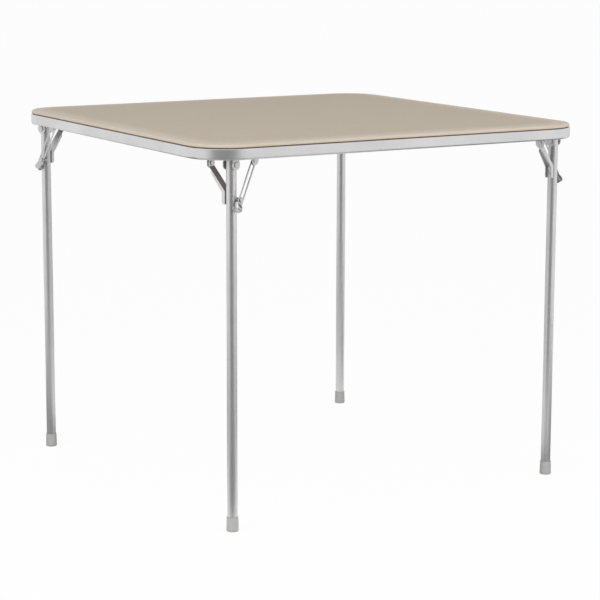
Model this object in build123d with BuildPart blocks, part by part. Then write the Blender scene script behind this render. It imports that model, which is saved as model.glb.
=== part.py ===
"""Square folding card table: a padded top in a rolled steel apron, on four tube legs.

Each leg turns on a pin in its corner bracket. The hinge lines are turned a little from the
rails, so that the folded legs lie in a pinwheel under the top and clear each other. A side
stay braces the leg inwards. A slotted strap, which swings on the same bracket, locks the
opened leg by its stud.
Origin: middle of the footprint, on the floor. +Z is up, and the front rail faces -Y.
"""
from build123d import *
import os
from math import cos, hypot, radians, sin

os.makedirs("parts", exist_ok=True)

# Whole table, opened
table_width = 838.0
table_height = 718.0
corner_radius = 78.0

# Fits and gaps between pieces
fixed_fit = 0.02
running_fit = 0.05
cut_overrun = 2.0

# Apron ring, rolled from steel strip and butted at the back
frame_height = 20.5
frame_wall = 1.2
frame_flange = 24.0
frame_lip = 4.5
frame_top_bend = 1.8
frame_bottom_bend = 4.0
frame_butt_gap = 0.4

# Padded top: vinyl over foam over hardboard
cover_thickness = 0.8
foam_thickness = 4.4
board_thickness = 3.0
pad_inset = 1.2
pad_roll_top = 5.0
pad_roll_bottom = 2.0
cover_turn_under = 37.0

# Staples that hold the turned vinyl to the board
staple_crown = 10.0
staple_wire = 0.9
staple_leg = 2.6
staple_inset = 31.0
staple_end_margin = 144.0
staples_per_side = 6

# Screws from the apron flange into the board
screw_radius = 1.75
screw_head_radius = 4.0
screw_head_height = 1.9
screw_bite = 2.2
screw_inset = 14.0
screw_end_margin = 229.0
screws_per_side = 3

# Splice over the butt joint
splice_length = 70.0
splice_width = 12.0
splice_thickness = 1.5
splice_rivet_radius = 1.6
splice_rivet_head_radius = 3.0
splice_rivet_head_height = 1.2
splice_rivet_margin = 5.0
splice_rivets_each = 4

# Leg tube and foot
tube_radius = 9.5
tube_wall = 1.1
tube_top_rise = 11.0
tube_edge_round = 0.4
leg_tuck = 13.0
leg_rail_inset = 30.0
hinge_turn = 21.0
fold_gap = 0.5
foot_radius = 11.3
foot_mouth_radius = 10.9
foot_tread_radius = 9.6
foot_height = 27.0
foot_floor = 4.0
foot_bulge_height = 6.0
foot_edge_round = 0.5

# Corner bracket, folded from sheet
bracket_sheet = 1.6
bracket_bend_gap = 0.1
bracket_flange_overlap = 3.0
bracket_end_land = 14.0
hinge_lug_radius = 10.0
hinge_lug_neck = 16.0
hinge_lug_gap = 0.8
bracket_rivet_radius = 2.0
bracket_rivet_head_radius = 4.0
bracket_rivet_head_height = 1.8
bracket_rivet_start = 7.0
bracket_rivet_end = 41.0
bracket_rivet_wall_gap = 8.8
bracket_rivets_each = 3

# Hinge pin
pin_radius = 3.5
pin_head_radius = 5.6
pin_head_height = 1.8

# Side stay, a channel from the tube to its own pin on the hinge line
stay_sheet = 1.4
stay_width = 15.0
stay_flange = 5.5
stay_reach = 46.0
stay_foot_drop = 72.0
stay_knee_drop = 48.0
stay_elbow_drop = 6.0
stay_flange_top_drop = 13.0
stay_ear_radius = 8.5
stay_pin_radius = 2.8
stay_pin_head_radius = 4.4
stay_pin_head_height = 1.5
stay_lug_gap = 0.5
stay_rivet_radius = 2.0
stay_rivet_head_radius = 3.6
stay_rivet_head_height = 1.4
stay_rivet_margin = 6.0
stay_rivet_pitch = 12.0

# Lock strap, its pivot and the stud that runs in its slot
strap_thickness = 1.5
strap_width = 13.0
strap_play = 0.5
strap_pivot_run = 42.0
strap_pivot_rise = 5.5
strap_pivot_radius = 3.0
strap_pivot_head_radius = 5.0
strap_pivot_head_height = 1.2
strap_pivot_play = 0.1
strap_lug_radius = 9.0
strap_end_land = 1.0
slot_top_reach = 13.0
strap_notch_depth = 1.5
tab_width = 12.0
tab_bend_radius = 7.0
tab_flare_run = 4.0
tab_curl_radius = 5.8
tab_flare_angle = 35.0
tab_curl_angle = 235.0
stud_run = 5.0
stud_drop = 63.0
stud_radius = 3.0
stud_slot_gap = 0.8
stud_head_radius = 5.0
stud_head_height = 1.6
stud_head_play = 0.3
stud_boss_radius = 3.2
stud_boss_height = 7.0
stud_base_radius = 4.4
stud_base_height = 2.2
stud_boss_gap = 0.3
stud_strap_gap = 0.8
stud_tenon_radius = 2.0
stud_tenon_stub = 1.9

# Heights
pad_height = 2 * cover_thickness + foam_thickness + board_thickness
frame_top = table_height - pad_height
frame_bottom = frame_top - frame_height
flange_underside = frame_top - frame_wall
board_underside = frame_top + cover_thickness
board_top = board_underside + board_thickness
hinge_height = frame_bottom - fold_gap - tube_radius

# Distances from a leg's axis along its hinge line, outwards
boss_face = tube_radius + stud_boss_height
strap_inner = boss_face + stud_strap_gap
strap_outer = strap_inner + strap_thickness
strap_lug_inner = strap_outer + strap_play
strap_lug_outer = strap_lug_inner + bracket_sheet

# Distances from a leg's axis, inwards
lug_near = tube_radius + hinge_lug_gap
lug_far = lug_near + bracket_sheet
ear_far = stay_reach + stay_sheet
stay_lug_near = ear_far + stay_lug_gap
stay_lug_far = stay_lug_near + bracket_sheet

# The front left leg, and the plane of its swing, whose normal points out along the hinge line
half_width = table_width / 2
leg_x = -half_width + corner_radius - leg_tuck
leg_y = -half_width + leg_rail_inset
fold_way = Vector(cos(radians(hinge_turn)), sin(radians(hinge_turn)), 0)
outward = Vector(fold_way.Y, -fold_way.X, 0)
hinge_point = Vector(leg_x, leg_y, hinge_height)
hinge_line = Axis(hinge_point, outward)
hinge_plane = Plane(origin=hinge_point, x_dir=fold_way, z_dir=outward)
leg_side_plane = Plane(origin=hinge_point, x_dir=-outward, z_dir=fold_way)
bracket_plane = Plane(origin=(leg_x, leg_y, flange_underside), x_dir=fold_way, z_dir=(0, 0, 1))

# The strap points from its pivot to the stud
strap_run = stud_run - strap_pivot_run
strap_fall = -stud_drop - strap_pivot_rise
strap_reach = hypot(strap_run, strap_fall)
strap_direction = (fold_way * strap_run + Vector(0, 0, strap_fall)).normalized()
strap_origin = hinge_point + fold_way * strap_pivot_run + Vector(0, 0, strap_pivot_rise)
strap_plane = Plane(origin=strap_origin, x_dir=strap_direction, z_dir=outward)
tab_plane = Plane(origin=strap_origin, x_dir=strap_direction, z_dir=strap_direction.cross(outward))
strap_plate_end = strap_reach + stud_head_radius + strap_end_land
slot_radius = stud_radius + stud_slot_gap

corner_turns = {"front_left": 0, "front_right": 90, "back_right": 180, "back_left": 270}


def rounded_block(width, corner, bottom, height, bottom_round=0, top_round=0):
    """A square slab on the table's middle, with round corners and, if asked, round edges."""
    with BuildPart() as block:
        with BuildSketch(Plane.XY.offset(bottom)):
            RectangleRounded(width, width, corner)
        extrude(amount=height)
        if bottom_round:
            fillet(block.faces().sort_by(Axis.Z)[0].edges(), radius=bottom_round)
        if top_round:
            fillet(block.faces().sort_by(Axis.Z)[-1].edges(), radius=top_round)
    return block.part


def round_bars(plane, points, radius, near, far):
    """Round bars at points of a plane, from one distance along its normal to another."""
    with BuildPart() as bars:
        with BuildSketch(plane.offset(near)):
            with Locations(*points):
                Circle(radius)
        extrude(amount=far - near)
    return bars.part


def write_piece(piece, name):
    """Label a finished piece and write its file."""
    piece.label = name
    export_step(piece, f"parts/{name}.step")


def write_at_corners(piece, name):
    """Write the front left piece four times, turned about the table's middle."""
    for corner, turn in corner_turns.items():
        with BuildPart() as turned:
            add(piece, rotation=(0, 0, turn))
        write_piece(turned.part, f"{name}_{corner}")


def around_the_table(points):
    """The points of the front side, turned to all four sides."""
    turned = []
    for quarter in range(len(corner_turns)):
        for x, y in points:
            for _ in range(quarter):
                x, y = -y, x
            turned.append((x, y))
    return turned


def row(count, start, end):
    """Places along a line, evenly spaced from its start to its end."""
    return [start + (end - start) * index / (count - 1) for index in range(count)]


# Sites shared by the pieces that a fastener passes through
screw_span = half_width - screw_end_margin
screw_y = -half_width + screw_inset
screw_sites = around_the_table([(x, screw_y) for x in row(screws_per_side, -screw_span, screw_span)])
staple_span = half_width - staple_end_margin
staple_y = -half_width + pad_inset + staple_inset
staple_sites = [(x, staple_y) for x in row(staples_per_side, -staple_span, staple_span)]
rivet_y = -half_width + frame_wall + bracket_rivet_wall_gap
rivet_row = row(bracket_rivets_each, leg_x + bracket_rivet_start, leg_x + bracket_rivet_end)
bracket_rivet_sites = [(x, rivet_y) for x in rivet_row]

# Padded top
pad_width = table_width - 2 * pad_inset
pad_corner = corner_radius - pad_inset
core_width = pad_width - 2 * cover_thickness
core_corner = pad_corner - cover_thickness
core_height = foam_thickness + board_thickness
pad_form = rounded_block(pad_width, pad_corner, frame_top, pad_height, pad_roll_bottom, pad_roll_top)
pad_core = rounded_block(
    core_width,
    core_corner,
    board_underside,
    core_height,
    pad_roll_bottom - cover_thickness,
    pad_roll_top - cover_thickness,
)
cover_mouth = rounded_block(
    pad_width - 2 * cover_turn_under,
    pad_corner - cover_turn_under,
    frame_top - cut_overrun,
    cover_thickness + 2 * cut_overrun,
)
screw_tip = board_underside + screw_bite
screw_holes = round_bars(
    Plane.XY, screw_sites, screw_radius + fixed_fit, flange_underside - cut_overrun, screw_tip
)


def staples(gap, crown_depth):
    """All the staples, or with a gap, the slots that their legs stand in."""
    leg_spread = staple_crown - staple_wire
    leg_spots = [(x + side * leg_spread / 2, y) for x, y in staple_sites for side in (-1, 1)]
    with BuildPart() as wires:
        with BuildSketch(Plane.XY.offset(frame_top - crown_depth)):
            with Locations(*around_the_table(leg_spots)):
                Rectangle(staple_wire + 2 * gap, staple_wire + 2 * gap)
        extrude(amount=crown_depth + staple_leg + gap)
        if crown_depth:
            for turn in corner_turns.values():
                with BuildSketch(Plane.XY.offset(frame_top - crown_depth).rotated((0, 0, turn))):
                    with Locations(*staple_sites):
                        Rectangle(staple_crown, staple_wire)
                extrude(amount=crown_depth)
    return wires.part


staple_slots = staples(fixed_fit, 0)

with BuildPart() as vinyl_cover:
    add(pad_form)
    add(pad_core, mode=Mode.SUBTRACT)
    add(cover_mouth, mode=Mode.SUBTRACT)
    add(screw_holes, mode=Mode.SUBTRACT)
    add(staple_slots, mode=Mode.SUBTRACT)
write_piece(vinyl_cover.part, "vinyl_cover")

with BuildPart() as foam_pad:
    add(pad_core)
    split(bisect_by=Plane.XY.offset(board_top), keep=Keep.TOP)
write_piece(foam_pad.part, "foam_pad")

with BuildPart() as top_board:
    add(pad_core)
    split(bisect_by=Plane.XY.offset(board_top), keep=Keep.BOTTOM)
    add(screw_holes, mode=Mode.SUBTRACT)
    add(staple_slots, mode=Mode.SUBTRACT)
write_piece(top_board.part, "top_board")

write_piece(staples(0, staple_wire), "cover_staples")

# Apron ring
frame_form = rounded_block(
    table_width, corner_radius, frame_bottom, frame_height, frame_bottom_bend, frame_top_bend
)
frame_hollow = rounded_block(
    table_width - 2 * frame_wall,
    corner_radius - frame_wall,
    frame_bottom + frame_wall,
    frame_height - 2 * frame_wall,
    frame_bottom_bend - frame_wall,
    frame_top_bend - frame_wall,
)
frame_middle = frame_bottom + frame_height / 2
flange_mouth = rounded_block(
    table_width - 2 * frame_flange, corner_radius - frame_flange, frame_middle, frame_height
)
lip_mouth = rounded_block(
    table_width - 2 * frame_lip, corner_radius - frame_lip, frame_middle - frame_height, frame_height
)
splice_plane = Plane(origin=(0, half_width - frame_wall, frame_middle), x_dir=(-1, 0, 0), z_dir=(0, 1, 0))
splice_span = splice_length / 2 - splice_rivet_margin
splice_spots = [(x, 0) for x in row(splice_rivets_each, -splice_span, splice_span)]
splice_holes = round_bars(
    splice_plane, splice_spots, splice_rivet_radius + fixed_fit, -splice_thickness - cut_overrun, frame_wall
)
bracket_rivet_holes = round_bars(
    Plane.XY,
    around_the_table(bracket_rivet_sites),
    bracket_rivet_radius + fixed_fit,
    flange_underside - cut_overrun,
    frame_top + cut_overrun,
)

with BuildPart() as apron_frame:
    add(frame_form)
    add(frame_hollow, mode=Mode.SUBTRACT)
    add(flange_mouth, mode=Mode.SUBTRACT)
    add(lip_mouth, mode=Mode.SUBTRACT)
    with BuildSketch(Plane.XY.offset(frame_bottom)):
        with Locations((0, half_width - frame_flange / 2)):
            Rectangle(frame_butt_gap, frame_flange + cut_overrun)
    extrude(amount=frame_height, mode=Mode.SUBTRACT)
    add(screw_holes, mode=Mode.SUBTRACT)
    add(bracket_rivet_holes, mode=Mode.SUBTRACT)
    add(splice_holes, mode=Mode.SUBTRACT)
write_piece(apron_frame.part, "apron_frame")

with BuildPart() as splice_plate:
    with BuildSketch(splice_plane):
        Rectangle(splice_length, splice_width)
    extrude(amount=-splice_thickness)
    add(splice_holes, mode=Mode.SUBTRACT)
write_piece(splice_plate.part, "splice_plate")

with BuildPart() as splice_rivets:
    add(round_bars(splice_plane, splice_spots, splice_rivet_radius, -splice_thickness, frame_wall))
    add(
        round_bars(
            splice_plane,
            splice_spots,
            splice_rivet_head_radius,
            -splice_thickness - splice_rivet_head_height,
            -splice_thickness,
        )
    )
write_piece(splice_rivets.part, "splice_rivets")

with BuildPart() as panel_screws:
    add(round_bars(Plane.XY, screw_sites, screw_radius, flange_underside, screw_tip))
    add(
        round_bars(
            Plane.XY, screw_sites, screw_head_radius, flange_underside - screw_head_height, flange_underside
        )
    )
    fillet(panel_screws.faces().group_by(Axis.Z)[0].edges(), radius=screw_head_height / 2)
write_piece(panel_screws.part, "panel_screws")

# Corner bracket: a top plate under the apron flange, with three lugs on the hinge line and
# one for the strap
hinge_bores = round_bars(
    hinge_plane, [(0, 0)], pin_radius + fixed_fit, -lug_far - cut_overrun, lug_far + cut_overrun
)
stay_lug_bore = round_bars(
    hinge_plane,
    [(0, 0)],
    stay_pin_radius + fixed_fit,
    -stay_lug_far - cut_overrun,
    -stay_lug_near + cut_overrun,
)
pivot_spot = [(strap_pivot_run, strap_pivot_rise)]
strap_lug_bore = round_bars(
    hinge_plane,
    pivot_spot,
    strap_pivot_radius + fixed_fit,
    strap_lug_inner - cut_overrun,
    strap_lug_outer + cut_overrun,
)
plate_rise = flange_underside - hinge_height
plate_x_start = leg_x - hinge_lug_neck / 2
plate_x_end = leg_x + bracket_rivet_end + bracket_end_land
plate_y_end = -half_width + frame_flange + bracket_flange_overlap
bracket_inset = frame_top_bend + bracket_bend_gap
apron_inside = rounded_block(
    table_width - 2 * bracket_inset, corner_radius - bracket_inset, frame_bottom, frame_height
)

with BuildPart() as hinge_bracket:
    with BuildSketch(bracket_plane):
        with Locations((0, (stay_lug_far - strap_lug_outer) / 2)):
            Rectangle(hinge_lug_neck, stay_lug_far + strap_lug_outer)
    extrude(amount=-bracket_sheet)
    with BuildSketch(Plane.XY.offset(flange_underside)):
        with Locations(((plate_x_start + plate_x_end) / 2, (plate_y_end - half_width) / 2)):
            Rectangle(plate_x_end - plate_x_start, plate_y_end + half_width)
    extrude(amount=-bracket_sheet)
    add(apron_inside, mode=Mode.INTERSECT)
    for lug_start in (lug_near, -lug_far, -stay_lug_far):
        with BuildSketch(hinge_plane.offset(lug_start)):
            Circle(hinge_lug_radius)
            with Locations((0, plate_rise / 2)):
                Rectangle(hinge_lug_neck, plate_rise)
        extrude(amount=bracket_sheet)
    with BuildSketch(hinge_plane.offset(strap_lug_inner)):
        with Locations(pivot_spot):
            Circle(strap_lug_radius)
        with Locations((strap_pivot_run, (plate_rise + strap_pivot_rise) / 2)):
            Rectangle(2 * strap_lug_radius, plate_rise - strap_pivot_rise)
    extrude(amount=bracket_sheet)
    add(hinge_bores, mode=Mode.SUBTRACT)
    add(stay_lug_bore, mode=Mode.SUBTRACT)
    add(strap_lug_bore, mode=Mode.SUBTRACT)
    add(bracket_rivet_holes, mode=Mode.SUBTRACT)
write_at_corners(hinge_bracket.part, "hinge_bracket")

plate_underside = flange_underside - bracket_sheet

with BuildPart() as bracket_rivets:
    add(round_bars(Plane.XY, bracket_rivet_sites, bracket_rivet_radius, plate_underside, frame_top))
    add(
        round_bars(
            Plane.XY,
            bracket_rivet_sites,
            bracket_rivet_head_radius,
            plate_underside - bracket_rivet_head_height,
            plate_underside,
        )
    )
    fillet(bracket_rivets.faces().group_by(Axis.Z)[0].edges(), radius=bracket_rivet_head_height / 2)
write_at_corners(bracket_rivets.part, "bracket_rivets")

# Pins on the hinge line
with BuildPart() as hinge_pin:
    add(round_bars(hinge_plane, [(0, 0)], pin_radius, -lug_far, lug_far))
    add(round_bars(hinge_plane, [(0, 0)], pin_head_radius, -lug_far - pin_head_height, -lug_far))
    add(round_bars(hinge_plane, [(0, 0)], pin_head_radius, lug_far, lug_far + pin_head_height))
    fillet(hinge_pin.faces().sort_by(hinge_line)[0].edges(), radius=pin_head_height / 2)
    fillet(hinge_pin.faces().sort_by(hinge_line)[-1].edges(), radius=pin_head_height / 2)
write_at_corners(hinge_pin.part, "hinge_pin")

stay_pin_end = -stay_lug_far - stay_pin_head_height
stay_pin_seat = -stay_reach + running_fit

with BuildPart() as stay_pin:
    add(round_bars(hinge_plane, [(0, 0)], stay_pin_radius, -stay_lug_far, stay_pin_seat))
    add(round_bars(hinge_plane, [(0, 0)], stay_pin_head_radius, stay_pin_end, -stay_lug_far))
    add(
        round_bars(
            hinge_plane,
            [(0, 0)],
            stay_pin_head_radius,
            stay_pin_seat,
            stay_pin_seat + stay_pin_head_height,
        )
    )
    fillet(stay_pin.faces().sort_by(hinge_line)[0].edges(), radius=stay_pin_head_height / 2)
    fillet(stay_pin.faces().sort_by(hinge_line)[-1].edges(), radius=stay_pin_head_height / 2)
write_at_corners(stay_pin.part, "stay_pin")

pivot_seat = strap_inner - strap_pivot_play
pivot_near = pivot_seat - strap_pivot_head_height
pivot_far = strap_lug_outer + strap_pivot_head_height

with BuildPart() as strap_pivot:
    add(round_bars(hinge_plane, pivot_spot, strap_pivot_radius, pivot_seat, strap_lug_outer))
    add(round_bars(hinge_plane, pivot_spot, strap_pivot_head_radius, pivot_near, pivot_seat))
    add(round_bars(hinge_plane, pivot_spot, strap_pivot_head_radius, strap_lug_outer, pivot_far))
    fillet(strap_pivot.faces().sort_by(hinge_line)[-1].edges(), radius=strap_pivot_head_height / 2)
write_at_corners(strap_pivot.part, "strap_pivot")

# Leg tube
stay_rivet_low = -stay_foot_drop + stay_rivet_margin
stay_rivet_spots = [(0, stay_rivet_low), (0, stay_rivet_low + stay_rivet_pitch)]
stud_spot = [(stud_run, -stud_drop)]
tube_pin_bores = round_bars(
    hinge_plane, [(0, 0)], pin_radius + running_fit, -tube_radius - cut_overrun, tube_radius + cut_overrun
)
stay_rivet_bores = round_bars(
    hinge_plane, stay_rivet_spots, stay_rivet_radius + fixed_fit, -tube_radius - stay_flange, 0
)
tenon_bore = round_bars(hinge_plane, stud_spot, stud_tenon_radius + fixed_fit, 0, tube_radius + cut_overrun)

with BuildPart() as leg_tube:
    with BuildSketch(Plane.XY.offset(foot_floor)):
        with Locations((leg_x, leg_y)):
            Circle(tube_radius)
            Circle(tube_radius - tube_wall, mode=Mode.SUBTRACT)
    extrude(amount=hinge_height + tube_top_rise - foot_floor)
    fillet(leg_tube.faces().sort_by(Axis.Z)[-1].edges(), radius=tube_edge_round)
    add(tube_pin_bores, mode=Mode.SUBTRACT)
    add(stay_rivet_bores, mode=Mode.SUBTRACT)
    add(tenon_bore, mode=Mode.SUBTRACT)
write_at_corners(leg_tube.part, "leg_tube")

# Foot: a moulded cup, widest just above its tread
foot_bore = tube_radius + fixed_fit
foot_seat = (0, foot_floor)
foot_bulge = (foot_radius, foot_bulge_height)
foot_edge = (foot_tread_radius, 0)
foot_plane = Plane(origin=(leg_x, leg_y, 0), x_dir=(1, 0, 0), z_dir=(0, -1, 0))

with BuildPart() as foot_cap:
    with BuildSketch(foot_plane):
        with BuildLine():
            Polyline(
                foot_seat,
                (foot_bore, foot_floor),
                (foot_bore, foot_height),
                (foot_mouth_radius, foot_height),
                foot_bulge,
            )
            Spline(foot_bulge, foot_edge, tangents=((0, -1), (-1, 0)))
            Polyline(foot_edge, (0, 0), foot_seat)
        make_face()
    revolve(axis=Axis((leg_x, leg_y, 0), (0, 0, 1)))
    fillet(foot_cap.faces().sort_by(Axis.Z)[-1].edges(), radius=foot_edge_round)
write_at_corners(foot_cap.part, "foot_cap")

# Side stay: its web runs up the tube, out to the hinge line and up again as an ear, and its
# two flanges stand inwards along the lower part
web_face = [
    (tube_radius, -stay_foot_drop),
    (tube_radius, -stay_knee_drop),
    (stay_reach, -stay_elbow_drop),
    (stay_reach, 0),
]
web_back = [(out + stay_sheet, height) for out, height in reversed(web_face)]
flange_top_share = (stay_knee_drop - stay_flange_top_drop) / (stay_knee_drop - stay_elbow_drop)
flange_root = tube_radius + stay_sheet
flange_top_out = flange_root + flange_top_share * (stay_reach - tube_radius)
flange_outline = [
    (flange_root, -stay_foot_drop),
    (flange_root, -stay_knee_drop),
    (flange_top_out, -stay_flange_top_drop),
    (flange_top_out, -stay_flange_top_drop - stay_flange),
    (flange_root + stay_flange, -stay_knee_drop - stay_flange / 2),
    (flange_root + stay_flange, -stay_foot_drop + stay_flange / 2),
    (flange_root + stay_flange / 2, -stay_foot_drop),
]

with BuildPart() as stay_flanges:
    with BuildSketch(leg_side_plane):
        with BuildLine():
            Polyline(*flange_outline, close=True)
        make_face()
    extrude(amount=stay_width / 2, both=True)
    with BuildSketch(leg_side_plane):
        with Locations((flange_root + stay_reach / 2, -stay_foot_drop / 2)):
            Rectangle(stay_reach, stay_foot_drop + cut_overrun)
    extrude(amount=stay_width / 2 - stay_sheet, both=True, mode=Mode.SUBTRACT)

with BuildPart() as side_stay:
    with BuildSketch(leg_side_plane):
        with BuildLine():
            Polyline(*web_face, *web_back, close=True)
        make_face()
    extrude(amount=stay_width / 2, both=True)
    add(stay_flanges.part)
    with BuildSketch(hinge_plane.offset(-ear_far)):
        Circle(stay_ear_radius)
        with Locations((0, -stay_elbow_drop / 2)):
            Rectangle(stay_width, stay_elbow_drop)
    extrude(amount=stay_sheet)
    with BuildSketch(hinge_plane.offset(-ear_far)):
        Circle(stay_pin_radius + running_fit)
    extrude(amount=stay_sheet, mode=Mode.SUBTRACT)
    add(stay_rivet_bores, mode=Mode.SUBTRACT)
write_at_corners(side_stay.part, "side_stay")

with BuildPart() as stay_rivets:
    add(round_bars(hinge_plane, stay_rivet_spots, stay_rivet_radius, -flange_root, tube_wall - tube_radius))
    add(
        round_bars(
            hinge_plane,
            stay_rivet_spots,
            stay_rivet_head_radius,
            -flange_root - stay_rivet_head_height,
            -flange_root,
        )
    )
    fillet(stay_rivets.faces().group_by(hinge_line)[0].edges(), radius=stay_rivet_head_height / 2)
write_at_corners(stay_rivets.part, "stay_rivets")

# Stud post: a saddle on the tube, a slimmer neck out to the strap, and a tenon through the wall
tube_round = round_bars(Plane.XY, [(leg_x, leg_y)], tube_radius, 0, table_height)
stud_tenon_end = tube_radius - tube_wall - stud_tenon_stub
stud_base_face = tube_radius + stud_base_height

with BuildPart() as stud_boss:
    add(round_bars(hinge_plane, stud_spot, stud_base_radius, tube_radius / 2, stud_base_face))
    add(tube_round, mode=Mode.SUBTRACT)
    add(round_bars(hinge_plane, stud_spot, stud_boss_radius, stud_base_face, boss_face))
    add(round_bars(hinge_plane, stud_spot, stud_tenon_radius, stud_tenon_end, stud_base_face))
write_at_corners(stud_boss.part, "stud_boss")

# Lock strap, with a finger tab that flares outwards and curls back
tab_root = (strap_plate_end, strap_inner + strap_thickness / 2)

with BuildPart() as strap_tab:
    with BuildSketch(tab_plane):
        with BuildLine() as tab_line:
            flare = JernArc(
                start=tab_root, tangent=(1, 0), radius=tab_bend_radius, arc_size=tab_flare_angle
            )
            reach = PolarLine(flare @ 1, tab_flare_run, direction=flare % 1)
            JernArc(start=reach @ 1, tangent=reach % 1, radius=tab_curl_radius, arc_size=-tab_curl_angle)
        trace(tab_line.line, line_width=strap_thickness)
    extrude(amount=tab_width / 2, both=True)

with BuildPart() as lock_strap:
    with BuildSketch(strap_plane.offset(strap_inner)):
        Circle(strap_width / 2)
        with Locations((strap_plate_end / 2, 0)):
            Rectangle(strap_plate_end, strap_width)
        Circle(strap_pivot_radius + running_fit, mode=Mode.SUBTRACT)
        with Locations(((strap_reach + slot_top_reach) / 2, 0)):
            SlotCenterToCenter(strap_reach - slot_top_reach, 2 * slot_radius, mode=Mode.SUBTRACT)
        with Locations((strap_reach, strap_notch_depth)):
            Circle(slot_radius, mode=Mode.SUBTRACT)
    extrude(amount=strap_thickness)
    add(strap_tab.part)
write_at_corners(lock_strap.part, "lock_strap")

stud_foot = boss_face + stud_boss_gap
stud_neck = strap_outer + stud_head_play

with BuildPart() as lock_stud:
    add(round_bars(hinge_plane, stud_spot, stud_radius, stud_foot, stud_neck))
    add(round_bars(hinge_plane, stud_spot, stud_head_radius, stud_neck, stud_neck + stud_head_height))
    fillet(lock_stud.faces().sort_by(hinge_line)[-1].edges(), radius=stud_head_height / 2)
write_at_corners(lock_stud.part, "lock_stud")
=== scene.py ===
"""Folding card table: the looks of its pieces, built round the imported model.

The vinyl top and its foam are modelled here as meshes. The other pieces keep their solids and
get their finishes. All sizes are in metres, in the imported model's frame: +Z is up, and the
front rail faces -Y.
"""
from math import cos, pi, radians, sin

import bpy
from mathutils import Matrix, Vector, noise


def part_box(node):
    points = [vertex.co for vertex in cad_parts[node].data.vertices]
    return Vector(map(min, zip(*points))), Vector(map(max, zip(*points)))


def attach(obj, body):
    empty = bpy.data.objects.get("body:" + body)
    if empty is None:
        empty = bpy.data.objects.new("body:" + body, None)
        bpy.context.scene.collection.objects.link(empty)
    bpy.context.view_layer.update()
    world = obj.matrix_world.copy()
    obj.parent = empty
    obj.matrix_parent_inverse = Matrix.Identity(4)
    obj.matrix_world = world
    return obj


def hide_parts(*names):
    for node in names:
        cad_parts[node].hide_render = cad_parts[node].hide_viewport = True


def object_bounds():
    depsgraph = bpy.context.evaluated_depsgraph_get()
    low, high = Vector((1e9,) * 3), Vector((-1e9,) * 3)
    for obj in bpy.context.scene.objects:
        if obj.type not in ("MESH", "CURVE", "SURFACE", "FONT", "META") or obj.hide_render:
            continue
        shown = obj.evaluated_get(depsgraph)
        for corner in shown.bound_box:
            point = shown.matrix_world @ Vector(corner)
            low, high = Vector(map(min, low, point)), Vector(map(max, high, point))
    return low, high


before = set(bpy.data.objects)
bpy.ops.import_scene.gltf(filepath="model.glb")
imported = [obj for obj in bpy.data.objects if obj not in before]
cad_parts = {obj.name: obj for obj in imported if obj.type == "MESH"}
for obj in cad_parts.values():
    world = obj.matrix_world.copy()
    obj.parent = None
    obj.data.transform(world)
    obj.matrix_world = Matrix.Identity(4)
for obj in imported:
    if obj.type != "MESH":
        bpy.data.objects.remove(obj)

bl_info = {
    "name": "Folding Card Table",
    "version": (1, 0, 0),
    "blender": (4, 5, 0),
    "location": "View3D > Sidebar > Card Table",
    "description": "Builds the padded top, the finishes and the studio of a folding card table",
    "category": "Object",
}

CORNERS = ("front_left", "front_right", "back_right", "back_left")
TOP_BODY = "table_top"
WHITE = (1, 1, 1, 1)

CAD_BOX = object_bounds()
COVER_LOW, COVER_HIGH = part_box("vinyl_cover")
FOAM_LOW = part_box("foam_pad")[0]


def tone(red, green, blue):
    """A display colour of 0 to 255 a channel, as the linear colour that Blender works in."""
    display_full = 255.0
    gamma = 2.4
    toe_end = 0.04045
    toe_slope = 12.92
    offset = 0.055
    linear = []
    for channel in (red, green, blue):
        share = channel / display_full
        if share <= toe_end:
            linear.append(share / toe_slope)
        else:
            linear.append(((share + offset) / (1 + offset)) ** gamma)
    return tuple(linear)


def colour_setting(name, description, default):
    """A colour that the panel shows as a swatch."""
    return bpy.props.FloatVectorProperty(
        name=name, description=description, default=default, subtype="COLOR", size=3, min=0, max=1
    )


def length_setting(name, description, default):
    """A length in metres."""
    return bpy.props.FloatProperty(
        name=name, description=description, default=default, unit="LENGTH", precision=4
    )


def share_setting(name, description, default):
    """A share from 0 to 1."""
    return bpy.props.FloatProperty(
        name=name, description=description, default=default, subtype="FACTOR", min=0, max=1
    )


def angle_setting(name, description, degrees):
    """An angle, given here in degrees."""
    return bpy.props.FloatProperty(
        name=name, description=description, default=radians(degrees), unit="ROTATION"
    )


def power_setting(name, description, default):
    """A lamp's power in watts."""
    return bpy.props.FloatProperty(
        name=name, description=description, default=default, unit="POWER"
    )


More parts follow.
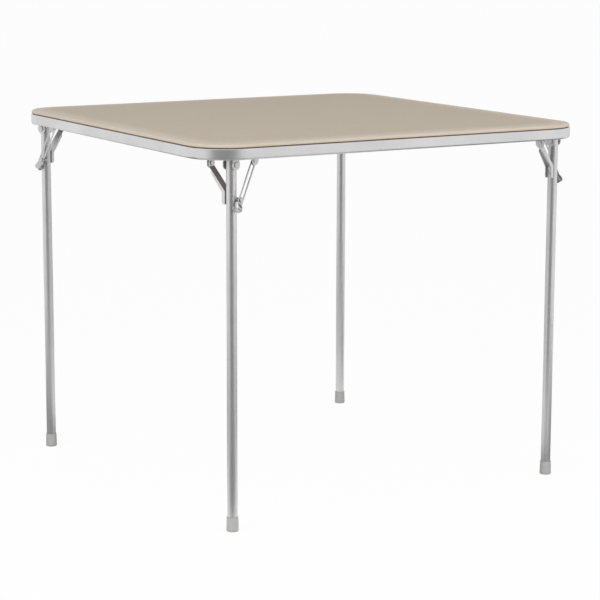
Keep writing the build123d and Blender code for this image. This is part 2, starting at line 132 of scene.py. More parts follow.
class PaddedTopSettings(bpy.types.PropertyGroup):
    """Shape and finish of the vinyl top and its foam."""

    corner_radius: length_setting("Corner Radius", "Round of the top's corners", 0.0768)
    turn_under: length_setting("Turn Under", "Width of the vinyl turned under the board", 0.037)
    skin: length_setting("Skin", "Thickness of the vinyl", 0.0008)
    bottom_roll: length_setting("Bottom Roll", "Round of the edge above the apron", 0.0018)
    edge_lift: length_setting("Edge Lift", "How far the padded edge stands off the apron", 0.0015)
    lift_reach: length_setting("Lift Reach", "How far in the edge rests on the apron", 0.011)
    top_roll: length_setting("Top Roll", "Height of the rounded shoulder of the edge", 0.0042)
    crown_reach: length_setting("Crown Reach", "How far in the top levels out", 0.052)
    crown_drop: length_setting("Crown Drop", "How far the shoulder lies under the middle", 0.0013)
    pucker_depth: length_setting("Pucker Depth", "Depth of the gathers at the corners", 0.00042)
    wave_depth: length_setting("Wave Depth", "Slow unevenness of the padded top", 0.00012)
    vinyl_colour: colour_setting("Vinyl", "Colour of the vinyl", tone(184, 168, 143))
    vinyl_deep: colour_setting("Vinyl Grain", "Colour in the grain's valleys", tone(167, 151, 127))
    # Painted highlight: this lighter colour is blended over the rolled edge so that it shows
    # lighter, standing in for the light that falls on it.
    vinyl_edge_highlight: colour_setting(
        "Vinyl Edge", "Vinyl stretched light over the edge", tone(213, 202, 189)
    )
    foam_colour: colour_setting("Foam", "Colour of the foam", tone(226, 214, 176))
    grain_size: length_setting("Grain Size", "Width of one pebble of the vinyl's grain", 0.0011)


class SteelSettings(bpy.types.PropertyGroup):
    """Finishes of the frame, the hinges and the fasteners, and of the board they hold."""

    coat_colour: colour_setting(
        "Coat", "Satin coat on the apron, legs and stays", tone(216, 215, 215)
    )
    coat_low: colour_setting("Coat Thin", "The coat where it has flowed thin", tone(209, 208, 209))
    strap_colour: colour_setting("Strap", "Plated lock straps", tone(200, 200, 202))
    zinc_colour: colour_setting("Zinc", "Plated pins, rivets and screws", tone(206, 206, 203))
    board_colour: colour_setting("Board", "Hardboard under the top", tone(122, 114, 106))
    board_dark: colour_setting("Board Fibre", "Dark fibres of the hardboard", tone(88, 81, 75))
    coat_metal: share_setting("Coat Metal", "How metallic the satin coat looks", 0.85)
    coat_roughness: share_setting("Coat Roughness", "Roughness of the satin coat", 0.38)
    strap_roughness: share_setting("Strap Roughness", "Roughness of the lock straps' plate", 0.3)
    zinc_roughness: share_setting("Zinc Roughness", "Roughness of the fasteners' plate", 0.32)
    edge_round: length_setting("Edge Round", "Softened edge of the pressed sheet", 0.00025)


class FootSettings(bpy.types.PropertyGroup):
    """Finish of the foot caps."""

    cap_colour: colour_setting("Cap", "Moulded foot caps", tone(172, 171, 170))
    cap_roughness: share_setting("Cap Roughness", "Roughness of the moulded caps", 0.34)


class StudioSettings(bpy.types.PropertyGroup):
    """Camera, floor and lamps."""

    lens: bpy.props.FloatProperty(
        name="Lens", description="Focal length", default=125.4, unit="CAMERA"
    )
    camera_place: bpy.props.FloatVectorProperty(
        name="Camera Place",
        description="Where the photograph was taken from",
        default=(-2.1276, -3.6504, 1.1206),
        subtype="TRANSLATION",
        unit="LENGTH",
    )
    camera_turn: angle_setting("Camera Turn", "Heading from +Y towards +X", 30.44)
    camera_dip: angle_setting("Camera Dip", "How far the camera looks down", 10.5)
    camera_roll: angle_setting("Camera Roll", "How far the picture leans", 0.15)
    floor_colour: colour_setting("Floor", "Plain pale floor", (0.88, 0.88, 0.88))
    floor_glow: share_setting("Floor White", "How far the floor shows as white background", 0.96)
    world_level: share_setting("World Level", "Soft light from all round", 0.42)
    side_lamp: power_setting("Side Lamps", "Power of each side softbox", 45.0)
    top_lamp: power_setting("Top Lamp", "Power of the softbox above", 6.0)
    dark_sheet: colour_setting("Dark Sheets", "Sheets that the steel mirrors", (0.2, 0.2, 0.2))


def new_group(name, inputs, outputs):
    """A shader node group with named sockets. Inputs are (name, kind, default)."""
    group = bpy.data.node_groups.new(name, "ShaderNodeTree")
    for socket_name, kind, default in inputs:
        socket = group.interface.new_socket(name=socket_name, in_out="INPUT", socket_type=kind)
        if default is not None:
            socket.default_value = default
    for socket_name, kind in outputs:
        group.interface.new_socket(name=socket_name, in_out="OUTPUT", socket_type=kind)
    group_input = group.nodes.new("NodeGroupInput")
    group_output = group.nodes.new("NodeGroupOutput")
    return group, group_input.outputs, group_output.inputs


def wire(tree, kind, values=None, **settings):
    """A new node with its settings and, by socket name or number, its values and links."""
    node = tree.nodes.new(kind)
    for key, value in settings.items():
        setattr(node, key, value)
    for key, value in (values or {}).items():
        if isinstance(value, bpy.types.NodeSocket):
            tree.links.new(value, node.inputs[key])
        else:
            node.inputs[key].default_value = value
    return node


def maths(tree, operation, *values):
    """A Math node's result."""
    return wire(tree, "ShaderNodeMath", dict(enumerate(values)), operation=operation).outputs[0]


# A Mix node's sockets for colours, by number, because the other kinds have the same names.
MIX_FACTOR = 0
MIX_FIRST_COLOUR = 6
MIX_SECOND_COLOUR = 7
MIX_COLOUR_RESULT = 2


def blend_colours(tree, mask, first, second):
    """A colour between two, by a mask. Each colour is a socket or a plain value."""
    first, second = (
        colour if isinstance(colour, bpy.types.NodeSocket) else (*colour, 1)
        for colour in (first, second)
    )
    values = {MIX_FACTOR: mask, MIX_FIRST_COLOUR: first, MIX_SECOND_COLOUR: second}
    return wire(tree, "ShaderNodeMix", values, data_type="RGBA").outputs[MIX_COLOUR_RESULT]


def pebble_grain():
    """Rounded pebbles with fine valleys between them, as embossed on vinyl."""
    wavers_per_pebble = 0.45
    noise_middle = (0.5, 0.5, 0.5)
    valley_reach = 0.28
    group, given, made = new_group(
        "Pebble Grain",
        [
            ("Coordinates", "NodeSocketVector", None),
            ("Pebble Width", "NodeSocketFloat", 0.001),
            ("Waver", "NodeSocketFloat", 0.35),
        ],
        [("Height", "NodeSocketFloat"), ("Valley", "NodeSocketFloat")],
    )
    per_metre = maths(group, "DIVIDE", 1.0, given["Pebble Width"])
    waver = wire(
        group,
        "ShaderNodeTexNoise",
        {
            "Vector": given["Coordinates"],
            "Scale": maths(group, "MULTIPLY", per_metre, wavers_per_pebble),
            "Detail": 1.0,
        },
    )
    shift = wire(
        group,
        "ShaderNodeVectorMath",
        {0: waver.outputs["Color"], 1: noise_middle},
        operation="SUBTRACT",
    )
    reach = maths(group, "MULTIPLY", given["Pebble Width"], given["Waver"])
    moved = wire(
        group, "ShaderNodeVectorMath", {0: shift.outputs[0], "Scale": reach}, operation="SCALE"
    )
    bent = wire(
        group,
        "ShaderNodeVectorMath",
        {0: given["Coordinates"], 1: moved.outputs[0]},
        operation="ADD",
    )
    cells = wire(
        group,
        "ShaderNodeTexVoronoi",
        {"Vector": bent.outputs[0], "Scale": per_metre},
        feature="DISTANCE_TO_EDGE",
    )
    rise = wire(
        group,
        "ShaderNodeMapRange",
        {"Value": cells.outputs["Distance"], "From Min": 0.0, "From Max": valley_reach},
        interpolation_type="SMOOTHSTEP",
    )
    group.links.new(rise.outputs[0], made["Height"])
    valley = maths(group, "SUBTRACT", 1.0, rise.outputs[0])
    group.links.new(valley, made["Valley"])
    return group


def drift():
    """Slow and fine unevenness of a finish, each from 0 to 1."""
    noise_low, noise_high = 0.3, 0.7
    group, given, made = new_group(
        "Finish Drift",
        [
            ("Coordinates", "NodeSocketVector", None),
            ("Slow Width", "NodeSocketFloat", 0.2),
            ("Fine Width", "NodeSocketFloat", 0.004),
        ],
        [("Slow", "NodeSocketFloat"), ("Fine", "NodeSocketFloat")],
    )
    for width, detail, output in (("Slow Width", 2.0, "Slow"), ("Fine Width", 3.0, "Fine")):
        cloud = wire(
            group,
            "ShaderNodeTexNoise",
            {
                "Vector": given["Coordinates"],
                "Scale": maths(group, "DIVIDE", 1.0, given[width]),
                "Detail": detail,
            },
        )
        spread = wire(
            group,
            "ShaderNodeMapRange",
            {"Value": cloud.outputs["Fac"], "From Min": noise_low, "From Max": noise_high},
        )
        group.links.new(spread.outputs[0], made[output])
    return group


def edge_rub():
    """Where edges stand proud and rub bright, broken up by a fine cloud."""
    rub_starts, rub_full = 0.52, 0.62
    group, given, made = new_group(
        "Edge Rub",
        [("Cloud", "NodeSocketFloat", 0.5), ("Amount", "NodeSocketFloat", 0.5)],
        [("Mask", "NodeSocketFloat")],
    )
    geometry = group.nodes.new("ShaderNodeNewGeometry")
    edge = wire(
        group,
        "ShaderNodeMapRange",
        {"Value": geometry.outputs["Pointiness"], "From Min": rub_starts, "From Max": rub_full},
    )
    broken = maths(group, "MULTIPLY", edge.outputs[0], given["Cloud"])
    group.links.new(maths(group, "MULTIPLY", broken, given["Amount"]), made["Mask"])
    return group


GROUPS = {}


def place_group(tree, build, values):
    """A node that holds a shared group, which is built the first time, with its values."""
    if build not in GROUPS:
        GROUPS[build] = build()
    return wire(tree, "ShaderNodeGroup", values, node_tree=GROUPS[build])


def finish_clouds(tree, place, slow_width, fine_width):
    """The slow and the fine unevenness of a finish, at its own widths."""
    values = {"Coordinates": place, "Slow Width": slow_width, "Fine Width": fine_width}
    clouds = place_group(tree, drift, values)
    return clouds.outputs["Slow"], clouds.outputs["Fine"]


def new_material(name, roughness, metallic=0.0):
    """A material with its Principled shader, its tree and its object coordinates."""
    material = bpy.data.materials.new(name)
    material.use_nodes = True
    tree = material.node_tree
    shader = tree.nodes["Principled BSDF"]
    shader.inputs["Roughness"].default_value = roughness
    shader.inputs["Metallic"].default_value = metallic
    coordinates = tree.nodes.new("ShaderNodeTexCoord").outputs["Object"]
    return material, tree, shader, coordinates


def between(tree, value, low, high):
    """A 0 to 1 value, spread from low to high."""
    values = {"Value": value, "To Min": low, "To Max": high}
    return wire(tree, "ShaderNodeMapRange", values).outputs[0]


def raise_surface(tree, shader, height, distance, strength):
    """Fine relief on a surface."""
    values = {"Height": height, "Distance": distance, "Strength": strength}
    tree.links.new(wire(tree, "ShaderNodeBump", values).outputs[0], shader.inputs["Normal"])


def painted_edge_highlight(tree):
    """How far the vinyl takes its painted edge highlight, by how many degrees its surface leans
    from level.
    """
    upright = 90
    half_way = 0.5
    stops = ((0.3, 0), (2.4, 0.45), (9, 0.8), (30, 0.75), (60, 0.5), (upright, 0.35))
    geometry = tree.nodes.new("ShaderNodeNewGeometry")
    slope = wire(tree, "ShaderNodeSeparateXYZ", {0: geometry.outputs["Normal"]})
    lean = maths(tree, "ARCCOSINE", maths(tree, "MINIMUM", slope.outputs["Z"], 1.0))
    share = maths(tree, "DIVIDE", lean, radians(upright))
    ramp = wire(tree, "ShaderNodeValToRGB", {"Fac": share})
    elements = ramp.color_ramp.elements
    while len(elements) < len(stops):
        elements.new(half_way)
    for element, (degrees, light) in zip(elements, stops):
        element.position = degrees / upright
        element.color = (light, light, light, 1)
    return ramp.outputs[0]


def vinyl_material(settings):
    """Soft matt vinyl with an embossed pebble grain, and a painted highlight that makes the rolled
    edge lighter by how far its surface leans from level.
    """
    slow_width, fine_width = 0.16, 0.006
    valley_share = 0.55
    cloud_share = 0.16
    roughness = 0.5
    smoother, rougher = 0.04, 0.06
    grain_depth, grain_strength = 0.00012, 0.5
    material, tree, shader, place = new_material("vinyl_taupe", roughness)
    grain = place_group(
        tree, pebble_grain, {"Coordinates": place, "Pebble Width": settings.grain_size}
    )
    slow, fine = finish_clouds(tree, place, slow_width, fine_width)
    valley = maths(tree, "MULTIPLY", grain.outputs["Valley"], valley_share)
    grained = blend_colours(tree, valley, settings.vinyl_colour, settings.vinyl_deep)
    clouded = blend_colours(
        tree, between(tree, slow, 0.0, cloud_share), grained, settings.vinyl_deep
    )
    # Painted highlight: the rolled edge takes the lighter edge colour by how far its surface leans
    # from level.
    highlighted = blend_colours(tree, painted_edge_highlight(tree), clouded, settings.vinyl_edge_highlight)
    tree.links.new(highlighted, shader.inputs["Base Color"])
    uneven = between(tree, fine, roughness - smoother, roughness + rougher)
    tree.links.new(uneven, shader.inputs["Roughness"])
    shader.inputs["Specular IOR Level"].default_value = 0.3
    shader.inputs["Sheen Weight"].default_value = 0.08
    shader.inputs["Sheen Roughness"].default_value = 0.5
    raise_surface(tree, shader, grain.outputs["Height"], grain_depth, grain_strength)
    return material


def foam_material(settings):
    """Open foam, with pores."""
    roughness = 0.9
    pore_width = 0.0016
    pore_share = 0.5
    pore_depth, pore_strength = 0.0004, 0.6
    material, tree, shader, place = new_material("foam_cream", roughness)
    grain = place_group(tree, pebble_grain, {"Coordinates": place, "Pebble Width": pore_width})
    pores = maths(tree, "MULTIPLY", grain.outputs["Valley"], pore_share)
    darker = tuple(channel / 2 for channel in settings.foam_colour)
    colour = blend_colours(tree, pores, settings.foam_colour, darker)
    tree.links.new(colour, shader.inputs["Base Color"])
    raise_surface(tree, shader, grain.outputs["Height"], pore_depth, pore_strength)
    return material


def coat_material(settings):
    """Satin silver-grey coat, a little uneven, with the faint peel of powder coat."""
    slow_width, fine_width = 0.09, 0.0022
    rub_amount = 0.25
    roughness = settings.coat_roughness
    roughness_spread = 0.04
    peel_depth, peel_strength = 0.00002, 0.12
    material, tree, shader, place = new_material(
        "coat_silver_grey", roughness, settings.coat_metal
    )
    slow, fine = finish_clouds(tree, place, slow_width, fine_width)
    rub = place_group(tree, edge_rub, {"Cloud": fine, "Amount": rub_amount})
    flowed = blend_colours(tree, slow, settings.coat_colour, settings.coat_low)
    colour = blend_colours(tree, rub.outputs[0], flowed, settings.zinc_colour)
    tree.links.new(colour, shader.inputs["Base Color"])
    uneven = between(tree, slow, roughness - roughness_spread, roughness + roughness_spread)
    tree.links.new(uneven, shader.inputs["Roughness"])
    raise_surface(tree, shader, fine, peel_depth, peel_strength)
    return material


def plated_material(name, colour, roughness):
    """Zinc plate: bright, faintly cloudy, with fine roll marks."""
    slow_width, fine_width = 0.02, 0.0009
    metallic = 0.95
    dulling = 0.14
    smoother, rougher = 0.06, 0.08
    mark_depth, mark_strength = 0.00002, 0.3
    material, tree, shader, place = new_material(name, roughness, metallic)
    slow, fine = finish_clouds(tree, place, slow_width, fine_width)
    dull = tuple(channel * (1 - dulling) for channel in colour)
    tree.links.new(blend_colours(tree, slow, colour, dull), shader.inputs["Base Color"])
    uneven = between(tree, fine, roughness - smoother, roughness + rougher)
    tree.links.new(uneven, shader.inputs["Roughness"])
    raise_surface(tree, shader, fine, mark_depth, mark_strength)
    return material


def board_material(settings):
    """Hardboard: pressed grey-brown fibres with a smooth face."""
    roughness = 0.55
    slow_width, fine_width = 0.05, 0.0014
    mottle_share = 0.4
    fibre_squeeze = (1.0, 7.0, 1.0)
    fibres_per_metre = 190.0
    fibre_starts, fibre_full = 0.42, 0.72
    fibre_share = 0.6
    fibre_depth, fibre_strength = 0.00008, 0.4
    material, tree, shader, place = new_material("board_brown", roughness)
    slow, _ = finish_clouds(tree, place, slow_width, fine_width)
    squeezed = wire(
        tree, "ShaderNodeVectorMath", {0: place, 1: fibre_squeeze}, operation="MULTIPLY"
    )
    fibres = wire(
        tree,
        "ShaderNodeTexNoise",
        {"Vector": squeezed.outputs[0], "Scale": fibres_per_metre, "Detail": 4.0},
    )
    thread = wire(
        tree,
        "ShaderNodeMapRange",
        {"Value": fibres.outputs["Fac"], "From Min": fibre_starts, "From Max": fibre_full},
    )
    mottle = between(tree, slow, 0.0, mottle_share)
    mottled = blend_colours(tree, mottle, settings.board_colour, settings.board_dark)
    threads = maths(tree, "MULTIPLY", thread.outputs[0], fibre_share)
    colour = blend_colours(tree, threads, mottled, settings.board_dark)
    tree.links.new(colour, shader.inputs["Base Color"])
    raise_surface(tree, shader, fibres.outputs["Fac"], fibre_depth, fibre_strength)
    return material


def cap_material(settings):
    """Moulded grey plastic with a fine spark texture and a scuffed tread."""
    slow_width, fine_width = 0.03, 0.0008
    tread_height = 0.006
    scuff_low, scuff_high = 0.1, 0.5
    scuff_tone = 0.45
    roughness = settings.cap_roughness
    smoother, rougher = 0.05, 0.06
    spark_depth, spark_strength = 0.00004, 0.3
    material, tree, shader, place = new_material("cap_grey", roughness)
    _, fine = finish_clouds(tree, place, slow_width, fine_width)
    height = wire(tree, "ShaderNodeSeparateXYZ", {0: place}).outputs["Z"]
    tread = wire(
        tree,
        "ShaderNodeMapRange",
        {"Value": height, "From Min": tread_height, "From Max": 0.0},
    ).outputs[0]
    scuff = maths(tree, "MULTIPLY", tread, between(tree, fine, scuff_low, scuff_high))
    worn = tuple(channel * scuff_tone for channel in settings.cap_colour)
    colour = blend_colours(tree, scuff, settings.cap_colour, worn)
    tree.links.new(colour, shader.inputs["Base Color"])
    uneven = between(tree, fine, roughness - smoother, roughness + rougher)
    tree.links.new(uneven, shader.inputs["Roughness"])
    raise_surface(tree, shader, fine, spark_depth, spark_strength)
    return material


def new_piece(name, points, faces, material, body, replaced):
    """A smooth mesh piece that rides on a body and stands for its node."""
    mesh = bpy.data.meshes.new(name)
    mesh.from_pydata(points, [], faces)
    mesh.validate()
    mesh.shade_smooth()
    mesh.materials.append(material)
    piece = bpy.data.objects.new(name, mesh)
    bpy.context.scene.collection.objects.link(piece)
    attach(piece, body)
    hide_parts(*replaced)
    return piece


def dress_node(name, material, edge_round=0.0):
    """Gives a carried-over node its finish and, if asked, softened edges."""
    sharp_from = radians(50)
    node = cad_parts[name]
    node.data.materials.clear()
    node.data.materials.append(material)
    if edge_round:
        bevel = node.modifiers.new("softened edges", "BEVEL")
        bevel.width = edge_round
        bevel.segments = 2
        bevel.limit_method = "ANGLE"
        bevel.angle_limit = sharp_from
        bevel.harden_normals = True


def rounded_ring(half_width, corner, arc_steps, side_steps):
    """Points once round a square with round corners, anticlockwise. Each comes with its outward
    direction and its share of the way round its corner, which is None on a side."""
    ring = []
    straight = half_width - corner
    for quarter in range(4):
        turn = quarter * pi / 2
        out_of_side = Vector((cos(turn), sin(turn)))
        along = Vector((-sin(turn), cos(turn)))
        middle = straight * (out_of_side - along)
        for step in range(arc_steps):
            share = step / arc_steps
            angle = turn - (1 - share) * pi / 2
            out = Vector((cos(angle), sin(angle)))
            ring.append((middle + corner * out, out, share))
        arc_end = middle + corner * out_of_side
        for step in range(side_steps):
            share = step / side_steps
            ring.append((arc_end + 2 * straight * share * along, out_of_side, None))
    return ring


def shoulder(settings, offset, steps):
    """The rounded edge of the pad and the slope up to its level top, as (inset, height) from the
    widest place inwards, for a skin that lies that far inside the outer face."""
    low = COVER_LOW.z + settings.edge_lift + settings.bottom_roll
    roll_top = COVER_HIGH.z - settings.crown_drop - offset
    points = []
    for step in range(steps):
        angle = step / steps * pi / 2
        inset = settings.top_roll - (settings.top_roll - offset) * cos(angle)
        points.append((inset, low + (roll_top - low) * sin(angle)))
    for step in range(steps + 1):
        share = step / steps
        inset = settings.top_roll + share * (settings.crown_reach - settings.top_roll)
        points.append((inset, roll_top + settings.crown_drop * (1 - (1 - share) ** 2)))
    return points


def turned_edge(settings, offset, steps):
    """The vinyl's turned-under margin, its rise off the apron and its lower roll, from the lip
    outwards."""
    radius = settings.bottom_roll - offset
    low = COVER_LOW.z + settings.edge_lift + settings.bottom_roll
    points = [(settings.turn_under, COVER_LOW.z + offset)]
    for step in range(steps):
        share = step / steps
        inset = settings.lift_reach + share * (settings.bottom_roll - settings.lift_reach)
        points.append((inset, COVER_LOW.z + offset + settings.edge_lift * share**2))
    for step in range(steps):
        angle = step / steps * pi / 2
        points.append((settings.bottom_roll - radius * sin(angle), low - radius * cos(angle)))
    return points


def skin_face(settings, offset, steps):
    """One face of the vinyl, from its turned-under lip to the level top, for a face that lies
    that far inside the outer one."""
    return turned_edge(settings, offset, steps) + shoulder(settings, offset, steps)


class RingSkin:
    """Points and faces of a skin made of like rings."""

    arc_steps = 28
    side_steps = 26
    inner_rings = 9

    def __init__(self, settings):
        self.settings = settings
        self.half_width = COVER_HIGH.x
        self.low = COVER_LOW.z
        self.points = []
        self.faces = []
        self.count = 4 * (self.arc_steps + self.side_steps)

    def gather(self, inset, height, share):
        """How far the vinyl, pulled tight round a corner, draws in below the shoulder."""
        if share is None:
            return 0.0
        pleats = 7
        shoulder_height = self.settings.edge_lift + 2 * self.settings.bottom_roll
        depth = max(0.0, 1 - (height - self.low) / shoulder_height)
        near_edge = max(0.0, 1 - inset / self.settings.turn_under)
        swell = sin(pi * share) ** 2
        fold = 0.5 - 0.5 * cos(2 * pi * pleats * share)
        return self.settings.pucker_depth * depth * near_edge * swell * fold

    def wave(self, x, y, inset):
        """The slow unevenness of padding under a tight cover."""
        swell_length = 0.11
        level = min(1.0, inset / self.settings.crown_reach)
        return self.settings.wave_depth * level * noise.noise(Vector((x, y, 0)) / swell_length)

    def add_ring(self, inset, height, scale=1.0, waves=False):
        """One more ring at an inset from the pad's edge, and the number of its first point."""
        start = len(self.points)
        corner = self.settings.corner_radius - inset
        for place, out, share in rounded_ring(
            self.half_width - inset, corner, self.arc_steps, self.side_steps
        ):
            spot = (place - self.gather(inset, height, share) * out) * scale
            rise = self.wave(spot.x, spot.y, inset) if waves else 0.0
            self.points.append((spot.x, spot.y, height + rise))
        return start

    def join(self, first, second, outwards=True):
        """A band of faces between two rings."""
        for step in range(self.count):
            after = (step + 1) % self.count
            face = (first + step, first + after, second + after, second + step)
            self.faces.append(face if outwards else tuple(reversed(face)))

    def close(self, ring, height, outwards=True):
        """A fan of faces from a ring to a point in the middle."""
        self.points.append((0.0, 0.0, height))
        middle = len(self.points) - 1
        for step in range(self.count):
            face = (ring + step, ring + (step + 1) % self.count, middle)
            self.faces.append(face if outwards else tuple(reversed(face)))

    def run(self, profile, outwards=True, waves=False):
        """A run of rings along a profile, and the first and last of them."""
        starts = [self.add_ring(inset, height, waves=waves) for inset, height in profile]
        for first, second in zip(starts, starts[1:]):
            self.join(first, second, outwards)
        return starts[0], starts[-1]

    def level_top(self, ring, height, outwards=True, waves=False):
        """The level middle of the top, from the last ring of the shoulder inwards."""
        for step in range(1, self.inner_rings + 1):
            scale = 1 - step / (self.inner_rings + 1)
            start = self.add_ring(self.settings.crown_reach, height, scale, waves)
            self.join(ring, start, outwards)
            ring = start
        self.close(ring, height, outwards)


class TABLE_OT_vinyl_cover(bpy.types.Operator):
    """Models the vinyl, from its turned-under lip over the rolled edge to the top"""

    bl_idname = "card_table.vinyl_cover"
    bl_label = "Vinyl Cover"

    def execute(self, context):
        settings = context.scene.padded_top
        roll_steps = 8
        skin = RingSkin(settings)
        outer = skin_face(settings, 0.0, roll_steps)
        inner = skin_face(settings, settings.skin, roll_steps)
        outer_lip, outer_top = skin.run(outer, waves=True)
        skin.level_top(outer_top, outer[-1][1], waves=True)
        inner_lip, inner_top = skin.run(inner, outwards=False, waves=True)
        skin.level_top(inner_top, inner[-1][1], outwards=False, waves=True)
        skin.join(inner_lip, outer_lip)
        cover = new_piece(
            "vinyl_top",
            skin.points,
            skin.faces,
            vinyl_material(settings),
            TOP_BODY,
            ["vinyl_cover"],
        )
        return {"FINISHED"}


class TABLE_OT_foam(bpy.types.Operator):
    """Models the foam between the board and the vinyl"""

    bl_idname = "card_table.foam"
    bl_label = "Foam"

    def execute(self, context):
        settings = context.scene.padded_top
        clearance = 0.00015
        roll_steps = 6
        skin = RingSkin(settings)
        offset = settings.skin + clearance
        base = FOAM_LOW.z + clearance
        edge = [point for point in shoulder(settings, offset, roll_steps) if point[1] > base]
        first, last = skin.run([(edge[0][0], base)] + edge, waves=True)
        skin.level_top(last, edge[-1][1], waves=True)
        skin.close(first, base, outwards=False)
        foam = new_piece(
            "foam_slab",
            skin.points,
            skin.faces,
            foam_material(settings),
            TOP_BODY,
            ["foam_pad"],
        )
        return {"FINISHED"}


MATERIALS = {}


def finish_material(name, build, *values):
    """A finish that is built the first time it is asked for."""
    if name not in MATERIALS:
        MATERIALS[name] = build(*values)
    return MATERIALS[name]


def coat(context):
    """The satin coat of the frame and legs."""
    return finish_material("coat", coat_material, context.scene.steel)


def zinc(context):
    """The plate of the pins, rivets and screws."""
    steel = context.scene.steel
    return finish_material(
        "zinc", plated_material, "zinc_plate", steel.zinc_colour, steel.zinc_roughness
    )


def strap_plate(context):
    """The plate of the lock straps."""
    steel = context.scene.steel
    return finish_material(
        "strap", plated_material, "strap_plate", steel.strap_colour, steel.strap_roughness
    )


def moulding(context):
    """The plastic of the foot caps."""
    return finish_material("cap", cap_material, context.scene.feet)


class TABLE_OT_apron(bpy.types.Operator):
    """Finishes the apron ring, its splice, the board and what fastens them"""

    bl_idname = "card_table.apron"
    bl_label = "Apron and Board"

    def execute(self, context):
        steel = context.scene.steel
        dress_node("apron_frame", coat(context))
        dress_node("splice_plate", coat(context), steel.edge_round)
        dress_node("top_board", finish_material("board", board_material, steel))
        for name in ("cover_staples", "panel_screws", "splice_rivets"):
            dress_node(name, zinc(context))
        return {"FINISHED"}


class TABLE_OT_brackets(bpy.types.Operator):
    """Finishes the corner brackets and their pins"""

    bl_idname = "card_table.brackets"
    bl_label = "Corner Brackets"

    def execute(self, context):
        for corner in CORNERS:
            dress_node(f"hinge_bracket_{corner}", coat(context), context.scene.steel.edge_round)
            for name in ("bracket_rivets", "hinge_pin", "stay_pin", "strap_pivot"):
                dress_node(f"{name}_{corner}", zinc(context))
        return {"FINISHED"}


class TABLE_OT_legs(bpy.types.Operator):
    """Finishes the leg tubes with their side stays, stay rivets and stud bosses"""

    bl_idname = "card_table.legs"
    bl_label = "Legs and Stays"

    def execute(self, context):
        for corner in CORNERS:
            dress_node(f"leg_tube_{corner}", coat(context))
            dress_node(f"side_stay_{corner}", coat(context), context.scene.steel.edge_round)
            for name in ("stay_rivets", "stud_boss"):
                dress_node(f"{name}_{corner}", zinc(context))
        return {"FINISHED"}


class TABLE_OT_straps(bpy.types.Operator):
    """Finishes the slotted lock straps and the studs that ride in them"""

    bl_idname = "card_table.straps"
    bl_label = "Lock Straps"

    def execute(self, context):
        edge_round = context.scene.steel.edge_round
        for corner in CORNERS:
            dress_node(f"lock_strap_{corner}", strap_plate(context), edge_round)
            dress_node(f"lock_stud_{corner}", zinc(context))
        return {"FINISHED"}


class TABLE_OT_foot_caps(bpy.types.Operator):
    """Finishes the foot caps"""

    bl_idname = "card_table.foot_caps"
    bl_label = "Foot Caps"

    def execute(self, context):
        for corner in CORNERS:
            dress_node(f"foot_cap_{corner}", moulding(context))
        return {"FINISHED"}


def white_to_lens(tree, lit, white, share):
    """A shader that shows the white one to the lens, to gloss and through glass, by a share, and
    the lit one to everything else."""
    path = tree.nodes.new("ShaderNodeLightPath")
    seen = maths(tree, "MAXIMUM", path.outputs["Is Camera Ray"], path.outputs["Is Glossy Ray"])
    seen = maths(tree, "MAXIMUM", seen, path.outputs["Is Transmission Ray"])
    factor = maths(tree, "MULTIPLY", seen, share)
    return wire(tree, "ShaderNodeMixShader", {0: factor, 1: lit, 2: white}).outputs[0]


def softbox(name, place, aim, width, height, power):
    """A rectangular lamp that points at a place. Gloss doesn't mirror it."""
    lamp = bpy.data.lights.new(name, "AREA")
    lamp.shape = "RECTANGLE"
    lamp.size = width
    lamp.size_y = height
    lamp.energy = power
    box = bpy.data.objects.new(name, lamp)
    box.location = place
    box.rotation_euler = (Vector(aim) - Vector(place)).to_track_quat("-Z", "Y").to_euler()
    box.visible_glossy = False
    bpy.context.scene.collection.objects.link(box)


def stage_sheet(name, corners, material):
    """A flat sheet of the studio, which isn't part of the table."""
    mesh = bpy.data.meshes.new(name)
    mesh.from_pydata(corners, [], [(0, 1, 2, 3)])
    mesh.materials.append(material)
    sheet = bpy.data.objects.new(name, mesh)
    bpy.context.scene.collection.objects.link(sheet)
    return sheet


def floor_strip(near, far, near_sides, far_sides):
    """Corners of a strip of floor, as (ahead, aside, height) from the table's middle. Its sides
    are where it starts and ends across, at its near and its far end."""
    return [
        (near, near_sides[0], 0),
        (near, near_sides[1], 0),
        (far, far_sides[1], 0),
        (far, far_sides[0], 0),
    ]


def level_axes(camera_turn):
    """The level directions ahead of the lens and to its right, and the upright."""
    ahead = Vector((sin(camera_turn), cos(camera_turn), 0))
    return ahead, Vector((ahead.y, -ahead.x, 0)), Vector((0, 0, 1))


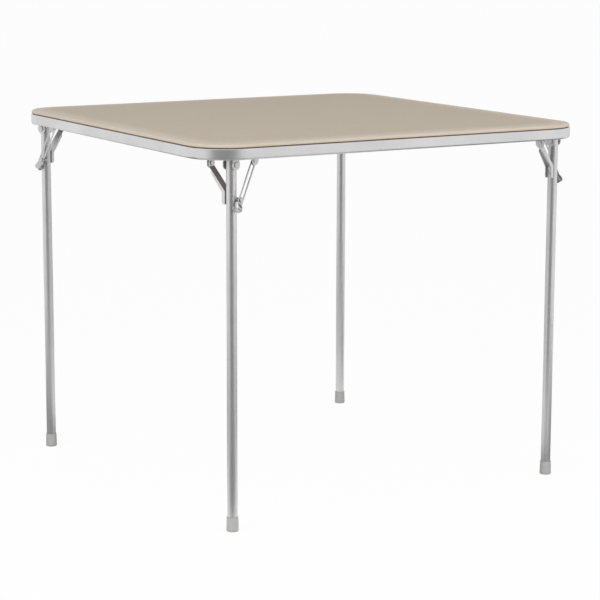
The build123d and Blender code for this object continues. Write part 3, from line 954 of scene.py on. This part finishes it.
class TABLE_OT_studio(bpy.types.Operator):
    """Sets the camera, the floor, the soft lamps and the dark sheets"""

    bl_idname = "card_table.studio"
    bl_label = "Studio"

    def execute(self, context):
        settings = context.scene.studio
        self.add_camera(context, settings)
        self.add_floor(settings)
        self.add_world(context, settings)
        self.add_lamps(settings)
        self.add_dark_sheets(settings)
        context.scene.view_settings.view_transform = "Standard"
        return {"FINISHED"}

    def add_camera(self, context, settings):
        """The photograph's viewpoint."""
        lens = bpy.data.cameras.new("camera")
        lens.lens = settings.lens
        camera = bpy.data.objects.new("camera", lens)
        camera.location = settings.camera_place
        turned = Matrix.Rotation(-settings.camera_turn, 3, "Z")
        tipped = Matrix.Rotation(pi / 2 - settings.camera_dip, 3, "X")
        leant = Matrix.Rotation(settings.camera_roll, 3, "Z")
        camera.rotation_euler = (turned @ tipped @ leant).to_euler()
        context.scene.collection.objects.link(camera)
        context.scene.camera = camera

    def add_floor(self, settings):
        """A plain pale floor that keeps the table's shadow."""
        reach = 30.0
        roughness = 0.9
        material, tree, shader, _ = new_material("floor_pale", roughness)
        shader.inputs["Base Color"].default_value = (*settings.floor_colour, 1)
        glow = wire(tree, "ShaderNodeEmission", {"Color": WHITE})
        shown = white_to_lens(tree, shader.outputs[0], glow.outputs[0], settings.floor_glow)
        tree.links.new(shown, tree.nodes["Material Output"].inputs["Surface"])
        corners = [(-reach, -reach, 0), (reach, -reach, 0), (reach, reach, 0), (-reach, reach, 0)]
        stage_sheet("floor", corners, material)

    def add_world(self, context, settings):
        """Even soft light, with a white background."""
        world = bpy.data.worlds.new("studio")
        world.use_nodes = True
        tree = world.node_tree
        lit = tree.nodes["Background"]
        lit.inputs["Strength"].default_value = settings.world_level
        lit.inputs["Color"].default_value = WHITE
        white = wire(tree, "ShaderNodeBackground", {"Color": WHITE})
        shown = white_to_lens(tree, lit.outputs[0], white.outputs[0], 1.0)
        tree.links.new(shown, tree.nodes["World Output"].inputs["Surface"])
        context.scene.world = world

    def add_lamps(self, settings):
        """A softbox on each side in front of the table and one above it."""
        side_reach = 2.0
        side_lead = 2.0
        side_height = 1.3
        side_size = (1.8, 2.2)
        top_rise = 1.9
        top_size = (2.6, 2.6)
        ahead, aside, up = level_axes(settings.camera_turn)
        middle = Vector((0, 0, CAD_BOX[1].z))
        for name, side in (("left_softbox", -1), ("right_softbox", 1)):
            place = side * side_reach * aside - side_lead * ahead + side_height * up
            softbox(name, place, middle / 2, *side_size, settings.side_lamp)
        softbox("top_softbox", middle + top_rise * up, middle, *top_size, settings.top_lamp)

    def add_dark_sheets(self, settings):
        """Dark sheets on the floor and one upright behind the lens, which only the steel
        mirrors, so that each tube shows a dark middle between its bright sides."""
        roughness = 0.9
        reach = 5.0
        far_sides = (-3.4, 3.4)
        wall_height = 2.6
        front_start, front_sides = -0.6, (-0.58, 0.58)
        back_start, back_sides = 1.1, (-0.9, 0.9)
        blocks = ((-0.3, 0.5, 0.35, 1.4), (-0.9, -0.3, 0.8, 1.6))
        sheet_lift = 0.001
        material, _, shader, _ = new_material("card_dark", roughness)
        shader.inputs["Base Color"].default_value = (*settings.dark_sheet, 1)
        wall = [
            (-reach, across, height)
            for across, height in zip(
                (*far_sides, *reversed(far_sides)), (0, 0, wall_height, wall_height)
            )
        ]
        sheets = [
            floor_strip(front_start, -reach, front_sides, far_sides),
            wall,
            floor_strip(back_start, reach, back_sides, far_sides),
        ]
        for near, far, inner, outer in blocks:
            for sides in ((-outer, -inner), (inner, outer)):
                sheets.append(floor_strip(near, far, sides, sides))
        ahead, aside, up = level_axes(settings.camera_turn)
        for index, corners in enumerate(sheets):
            places = [
                tuple(along * ahead + across * aside + (height + sheet_lift) * up)
                for along, across, height in corners
            ]
            sheet = stage_sheet(f"dark_sheet_{index}", places, material)
            sheet.visible_camera = False
            sheet.visible_diffuse = False
            sheet.visible_shadow = False


class TABLE_PT_panel(bpy.types.Panel):
    """The table's pieces and settings, in the sidebar"""

    bl_idname = "TABLE_PT_panel"
    bl_label = "Card Table"
    bl_space_type = "VIEW_3D"
    bl_region_type = "UI"
    bl_category = "Card Table"

    def draw(self, context):
        for operator in OPERATORS:
            self.layout.operator(operator.bl_idname)
        for name, _ in SETTINGS:
            group = getattr(context.scene, name)
            box = self.layout.box()
            for key in group.bl_rna.properties.keys():
                if key not in ("rna_type", "name"):
                    box.prop(group, key)


SETTINGS = (
    ("padded_top", PaddedTopSettings),
    ("steel", SteelSettings),
    ("feet", FootSettings),
    ("studio", StudioSettings),
)
OPERATORS = (
    TABLE_OT_studio,
    TABLE_OT_vinyl_cover,
    TABLE_OT_foam,
    TABLE_OT_apron,
    TABLE_OT_brackets,
    TABLE_OT_legs,
    TABLE_OT_straps,
    TABLE_OT_foot_caps,
)


def register():
    """Registers the settings, the operators and the panel."""
    for name, group in SETTINGS:
        bpy.utils.register_class(group)
        setattr(bpy.types.Scene, name, bpy.props.PointerProperty(type=group))
    for operator in OPERATORS:
        bpy.utils.register_class(operator)
    bpy.utils.register_class(TABLE_PT_panel)


def unregister():
    """Takes back what register added."""
    bpy.utils.unregister_class(TABLE_PT_panel)
    for operator in reversed(OPERATORS):
        bpy.utils.unregister_class(operator)
    for name, group in reversed(SETTINGS):
        delattr(bpy.types.Scene, name)
        bpy.utils.unregister_class(group)


def main():
    """Builds the whole scene."""
    register()
    bpy.ops.card_table.studio()
    bpy.ops.card_table.vinyl_cover()
    bpy.ops.card_table.foam()
    bpy.ops.card_table.apron()
    bpy.ops.card_table.brackets()
    bpy.ops.card_table.legs()
    bpy.ops.card_table.straps()
    bpy.ops.card_table.foot_caps()


if __name__ == "__main__":
    main()
